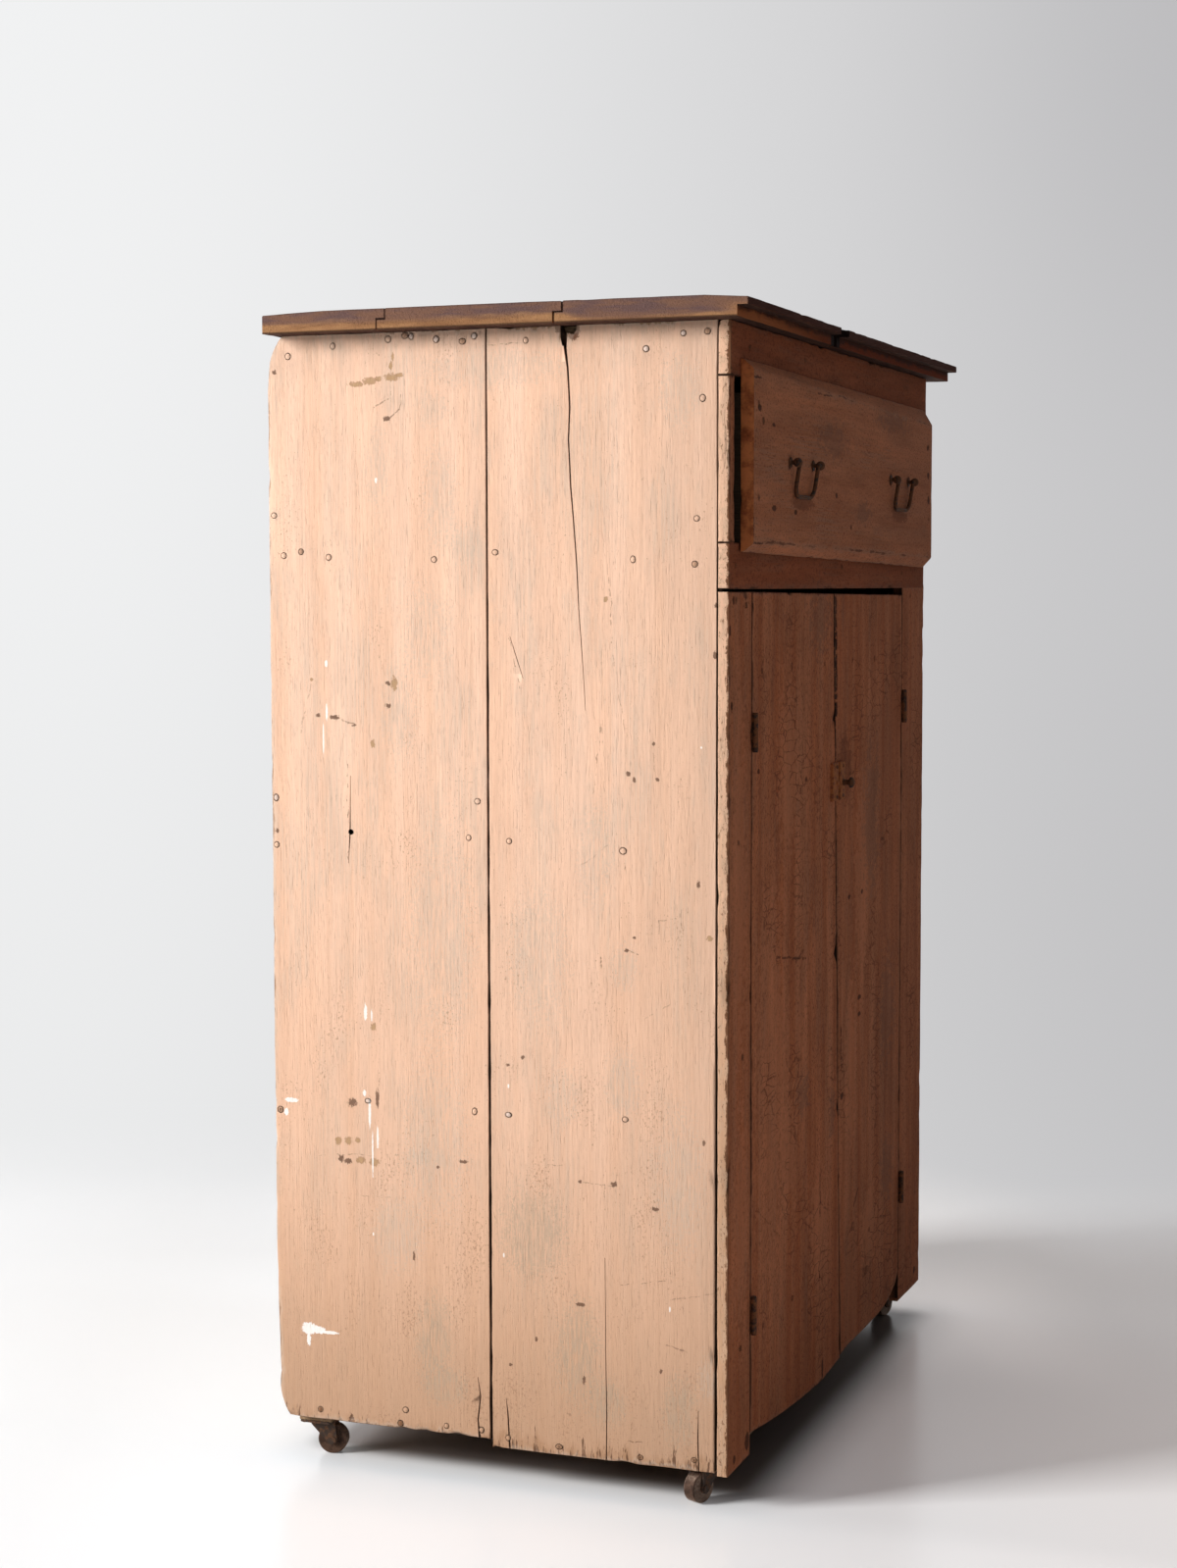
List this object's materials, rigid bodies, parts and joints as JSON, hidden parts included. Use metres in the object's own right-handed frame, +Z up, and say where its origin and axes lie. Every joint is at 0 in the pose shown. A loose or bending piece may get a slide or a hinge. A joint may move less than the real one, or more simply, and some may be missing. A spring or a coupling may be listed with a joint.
{
  "type": "cupboard",
  "caption": "Painted wooden cupboard on swivel casters, with a lipped drawer on bail pulls over plank doors that meet at a knob latch.",
  "frame": {"origin": "on the floor, under the middle of the cupboard's overall box", "axes": "+Z up; -Y is the front with the drawer and doors; +X is to the right of someone facing the front"},
  "size_m": [0.9054, 0.5364, 1.219],
  "materials": {
    "outside_wood": "old salmon paint, matte, worn through to grey wood at the edges",
    "front_wood": "the same old paint, matte, with handling marks",
    "top_wood": "bare dark boards, grimed and rubbed pale at their ends and corners",
    "bare_wood": "unpainted old softwood",
    "old_iron": "aged iron, partly painted over",
    "black_iron": "blackened iron",
    "caster_wood": "worn turned hardwood, greasy at the hub"
  },
  "bodies": {
    "case": {"side_board_left_front": "outside_wood", "side_board_left_back": "outside_wood", "side_board_right_front": "outside_wood", "side_board_right_back": "outside_wood", "bottom_board": "bare_wood", "lower_shelf": "bare_wood", "upper_shelf": "bare_wood", "top_cleat_left": "bare_wood", "top_cleat_right": "bare_wood", "top_rail": "front_wood", "middle_rail": "front_wood", "drawer_stile_left": "front_wood", "drawer_stile_right": "front_wood", "door_stile_left": "front_wood", "door_stile_right": "front_wood", "drawer_runner_left": "bare_wood", "drawer_runner_right": "bare_wood", "hinge_leaves_frame": "old_iron", "hinge_pins": "old_iron", "caster_plates": "old_iron", "caster_packing_blocks": "bare_wood", "caster_screws": "old_iron", "top_board_front": "top_wood", "top_board_middle": "top_wood", "top_board_back": "top_wood", "back_board_1": "bare_wood", "back_board_2": "bare_wood", "back_board_3": "bare_wood", "back_board_4": "bare_wood"},
    "drawer": {"drawer_front": "front_wood", "drawer_side_left": "bare_wood", "drawer_side_right": "bare_wood", "drawer_back": "bare_wood", "drawer_bottom": "bare_wood", "pull_posts_left": "black_iron", "pull_posts_right": "black_iron"},
    "left_bail": {"pull_bail_left": "black_iron"},
    "right_bail": {"pull_bail_right": "black_iron"},
    "left_door": {"door_left": "front_wood", "door_battens_left": "bare_wood", "hinge_leaves_door_left": "old_iron", "latch_keeper": "old_iron"},
    "right_door": {"door_right": "front_wood", "door_battens_right": "bare_wood", "hinge_leaves_door_right": "old_iron", "latch_case": "old_iron"},
    "latch_knob": {"latch_knob": "black_iron"},
    "swivel_front_left": {"caster_fork_front_left": "old_iron"},
    "wheel_front_left": {"caster_wheel_front_left": "caster_wood"},
    "swivel_back_left": {"caster_fork_back_left": "old_iron"},
    "wheel_back_left": {"caster_wheel_back_left": "caster_wood"},
    "swivel_front_right": {"caster_fork_front_right": "old_iron"},
    "wheel_front_right": {"caster_wheel_front_right": "caster_wood"},
    "swivel_back_right": {"caster_fork_back_right": "old_iron"},
    "wheel_back_right": {"caster_wheel_back_right": "caster_wood"}
  },
  "joints": [
    {"name": "drawer_slide", "type": "slide", "parent": "case", "child": "drawer", "axis": [0, -1, 0], "range_m": [0, 0.34]},
    {"name": "left_bail_swing", "type": "hinge", "parent": "drawer", "child": "left_bail", "pos_m": [-0.22545, -0.26425, 1.0635], "axis": [-1, 0, 0], "range_deg": [0, 150]},
    {"name": "right_bail_swing", "type": "hinge", "parent": "drawer", "child": "right_bail", "pos_m": [0.19725, -0.26425, 1.061], "axis": [-1, 0, 0], "range_deg": [0, 150]},
    {"name": "left_door_hinge", "type": "hinge", "parent": "case", "child": "left_door", "pos_m": [-0.34825, -0.24335, 0.48475], "axis": [0, 0, -1], "range_deg": [0, 165]},
    {"name": "right_door_hinge", "type": "hinge", "parent": "case", "child": "right_door", "pos_m": [0.28125, -0.24335, 0.48475], "axis": [0, 0, 1], "range_deg": [0, 165]},
    {"name": "latch_turn", "type": "hinge", "parent": "right_door", "child": "latch_knob", "pos_m": [-0.01208, -0.24515, 0.7135], "axis": [0, -1, 0], "range_deg": [0, 90]},
    {"name": "swivel_turn_front_left", "type": "hinge", "parent": "case", "child": "swivel_front_left", "pos_m": [-0.39075, -0.20575, 0.039], "axis": [0, 0, 1], "continuous": true},
    {"name": "wheel_roll_front_left", "type": "hinge", "parent": "swivel_front_left", "child": "wheel_front_left", "pos_m": [-0.4018, -0.20106, 0.016], "axis": [-0.3907, -0.9205, 0], "continuous": true},
    {"name": "swivel_turn_back_left", "type": "hinge", "parent": "case", "child": "swivel_back_left", "pos_m": [-0.39075, 0.23125, 0.039], "axis": [0, 0, 1], "continuous": true},
    {"name": "wheel_roll_back_left", "type": "hinge", "parent": "swivel_back_left", "child": "wheel_back_left", "pos_m": [-0.38785, 0.21961, 0.016], "axis": [0.9703, 0.2419, 0], "continuous": true},
    {"name": "swivel_turn_front_right", "type": "hinge", "parent": "case", "child": "swivel_front_right", "pos_m": [0.35875, -0.20575, 0.039], "axis": [0, 0, 1], "continuous": true},
    {"name": "wheel_roll_front_right", "type": "hinge", "parent": "swivel_front_right", "child": "wheel_front_right", "pos_m": [0.34727, -0.20224, 0.016], "axis": [-0.2924, -0.9563, 0], "continuous": true},
    {"name": "swivel_turn_back_right", "type": "hinge", "parent": "case", "child": "swivel_back_right", "pos_m": [0.35875, 0.23125, 0.039], "axis": [0, 0, 1], "continuous": true},
    {"name": "wheel_roll_back_right", "type": "hinge", "parent": "swivel_back_right", "child": "wheel_back_right", "pos_m": [0.35312, 0.22065, 0.016], "axis": [0.8829, -0.4695, 0], "continuous": true}
  ]
}
